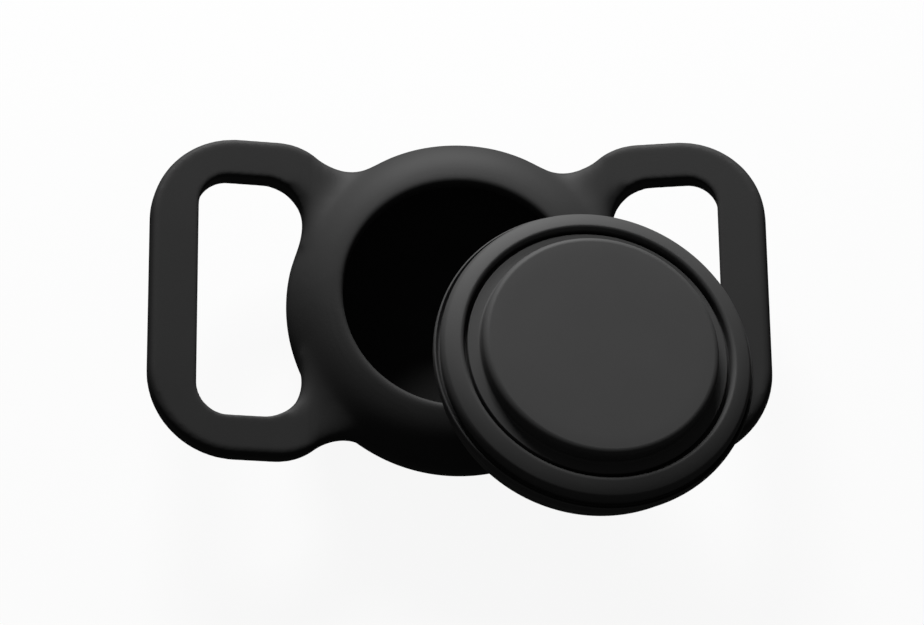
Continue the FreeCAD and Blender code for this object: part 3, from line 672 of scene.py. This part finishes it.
plane = bmesh.new()
bmesh.ops.create_grid(plane, x_segments=1, y_segments=1, size=FLOOR_SIZE / 2,
                      matrix=Matrix.Translation((0, 0, -FLOOR_DROP_MM * MM)))
floor_mesh = bpy.data.meshes.new("floor")
plane.to_mesh(floor_mesh)
plane.free()
floor_mesh.materials.append(floor_finish)
floor = bpy.data.objects.new("floor", floor_mesh)
bpy.context.scene.collection.objects.link(floor)
print("floor:", FLOOR_SIZE, "m wide")

# %% Lamps
LAMPS = {
    "window": ((-0.1, 0.47, 0.3), 0.2, 0.14, 2.75),
    "strip": ((-0.004, 0.236, 0.054), 0.12, 0.03, 0.62),
}
LAMP_AIM = Vector((0.0, 0.0, 0.012))

for name, (place, width, height, watts) in LAMPS.items():
    lamp = bpy.data.lights.new(name, "AREA")
    lamp.shape = "RECTANGLE"
    lamp.size = width
    lamp.size_y = height
    lamp.energy = watts
    stand = bpy.data.objects.new(name, lamp)
    stand.location = place
    stand.visible_camera = False
    stand.rotation_euler = (LAMP_AIM - stand.location).to_track_quat("-Z", "Y").to_euler()
    bpy.context.scene.collection.objects.link(stand)
    print("lamp:", name, watts, "W")

# %% [markdown]
# The world is a dim even light from all round that fills the shadows a little. To the camera it is white, like the
# floor, so the horizon doesn't show.

# %% World
WORLD_COLOUR = "#FFFFFF"
WORLD_LEVEL = 0.06

world = bpy.data.worlds.new("studio")
bpy.context.scene.world = world
world.use_nodes = True
world.node_tree.nodes.clear()
path = add(world.node_tree, "ShaderNodeLightPath")
seen = add(world.node_tree, "ShaderNodeMath", {0: path.outputs["Is Camera Ray"], 1: WORLD_LEVEL},
           operation="MAXIMUM")
sky = add(world.node_tree, "ShaderNodeBackground", {"Color": linear(WORLD_COLOUR),
                                                    "Strength": seen.outputs["Value"]})
add(world.node_tree, "ShaderNodeOutputWorld", {"Surface": sky.outputs["Background"]})
bpy.context.scene.view_settings.view_transform = "Standard"
print("world:", WORLD_LEVEL)

# %% [markdown]
# The camera stands where the photograph was taken from: well above the object, a little towards its lower side,
# with a long lens. Its turn about the line of sight levels the strap loops in the picture.

# %% Camera
PICTURE_WIDTH = 924
AZIMUTH = math.radians(-8.0)
ELEVATION = math.radians(70.196)
ROLL = math.radians(7.772)
DISTANCE_MM = 374.685
PIXELS_PER_MM = 9.142
PICTURE_OFFSET_MM = (0.302, -1.386)
AIM_MM = Vector((0.0, 0.0, 11.0))
SENSOR_MM = 36.0
NEAREST_SEEN = 0.01

back = Vector((math.sin(AZIMUTH) * math.cos(ELEVATION), -math.cos(AZIMUTH) * math.cos(ELEVATION),
               math.sin(ELEVATION)))
right = Matrix.Rotation(ROLL, 3, back) @ Vector((math.cos(AZIMUTH), math.sin(AZIMUTH), 0.0))
up = back.cross(right)
aim = AIM_MM + right * PICTURE_OFFSET_MM[0] + up * PICTURE_OFFSET_MM[1]
camera = bpy.data.cameras.new("camera")
camera.sensor_width = SENSOR_MM
camera.sensor_fit = "HORIZONTAL"
camera.lens = SENSOR_MM * PIXELS_PER_MM * DISTANCE_MM / PICTURE_WIDTH
camera.clip_start = NEAREST_SEEN
eye = bpy.data.objects.new("camera", camera)
turn = Matrix((right, up, back)).transposed().to_4x4()
eye.matrix_world = Matrix.Translation((aim + back * DISTANCE_MM) * MM) @ turn
bpy.context.scene.collection.objects.link(eye)
bpy.context.scene.camera = eye
print("lens, mm:", round(camera.lens, 1))

# %% [markdown]
# ## Count of pieces
# The number of pieces modelled here and of solids kept with new finishes is printed.

# %% Count of pieces
print("pieces:", len(made_pieces), "modelled,", len(INNER_FINISHES), "kept")
